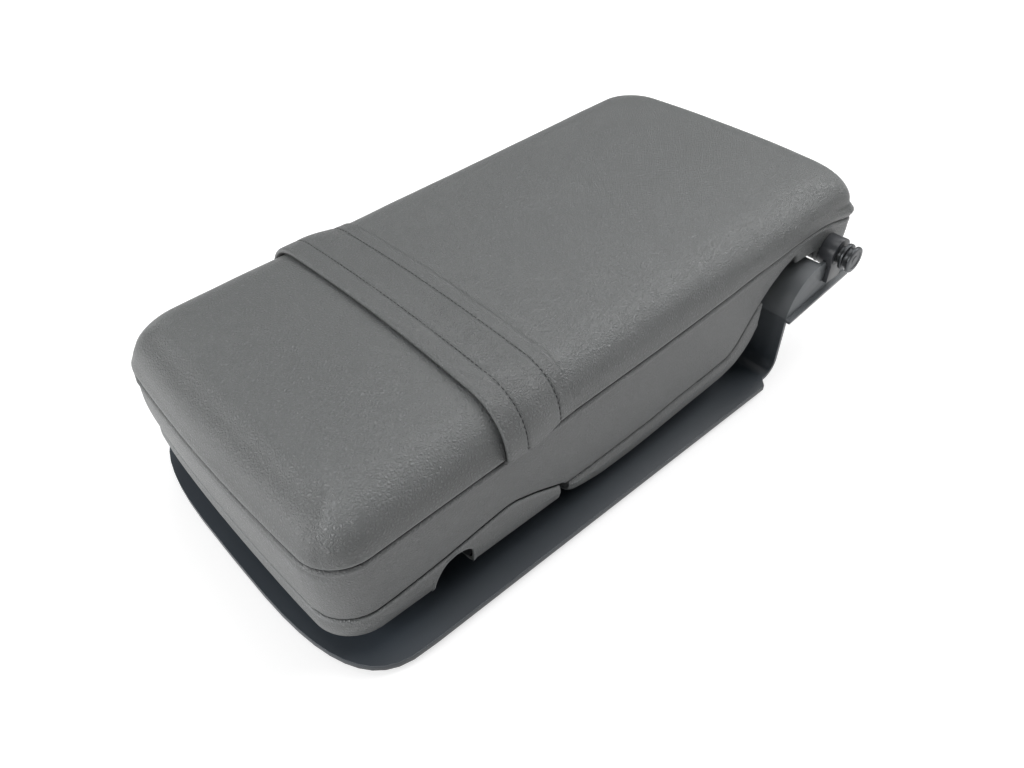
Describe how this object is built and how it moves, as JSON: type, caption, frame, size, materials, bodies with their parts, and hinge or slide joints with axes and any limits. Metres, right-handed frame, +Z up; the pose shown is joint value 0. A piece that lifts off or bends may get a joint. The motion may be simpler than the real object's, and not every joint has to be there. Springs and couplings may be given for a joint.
{
  "type": "rear seat armrest",
  "caption": "Folding leather rear seat armrest with a pull band, a cup holder lid and a back panel with side arms, hinged on a through shaft.",
  "frame": {"origin": "middle of the whole object in plan, on the surface that the panel clips stand on", "axes": "+Z up with the armrest stowed on its panel, +X along the pivot shaft to the side with the finger notch, -Y to the free end"},
  "size_m": [0.265, 0.4536, 0.1367],
  "materials": {
    "leather_top": "fine grained, soft sheen",
    "leather_side": "fine grained, soft sheen",
    "panel_plastic": "fine textured, satin",
    "carrier_plastic": "moulded, matte",
    "cup_plastic": "moulded, satin",
    "clip_plastic": "moulded, satin",
    "bush_plastic": "moulded, satin",
    "buffer_rubber": "matte",
    "zinc_steel": "turned and zinc plated",
    "frame_steel": "bare steel",
    "foam": "moulded foam with a skin"
  },
  "bodies": {
    "panel": {"back_panel": "panel_plastic", "panel_clips": "clip_plastic", "rubber_buffers": "buffer_rubber", "hinge_shaft": "zinc_steel", "pivot_bush_right": "bush_plastic", "pivot_bush_left": "bush_plastic", "pivot_stud_right": "zinc_steel", "pivot_stud_left": "zinc_steel", "thrust_washer_right": "bush_plastic", "thrust_washer_left": "bush_plastic"},
    "armrest": {"hinge_tube": "frame_steel", "frame_loop": "frame_steel", "frame_bracket_right": "frame_steel", "frame_bracket_left": "frame_steel", "foam_core": "foam", "carrier": "carrier_plastic", "cup_holder": "cup_plastic", "carrier_screws": "zinc_steel", "top_cover_front": "leather_top", "top_cover_rear": "leather_top", "pull_band": "leather_top", "side_band": "leather_side", "elbow_pad": "leather_side", "lid_hinge_pin": "zinc_steel", "strike_plate": "frame_steel"},
    "lid": {"lid_shell": "carrier_plastic", "lid_cover": "leather_side", "lid_magnet": "zinc_steel"}
  },
  "joints": [
    {"name": "armrest_pivot", "type": "hinge", "parent": "panel", "child": "armrest", "pos_m": [0, 0.18725, 0.089], "axis": [-1, 0, 0], "range_deg": [0, 100]},
    {"name": "lid_hinge", "type": "hinge", "parent": "armrest", "child": "lid", "pos_m": [0, -0.06625, 0.0275], "axis": [1, 0, 0], "range_deg": [0, 90]}
  ],
  "couplings": [
    {"joint": "lid_hinge", "follows": "armrest_pivot", "ratio": 0.9}
  ]
}
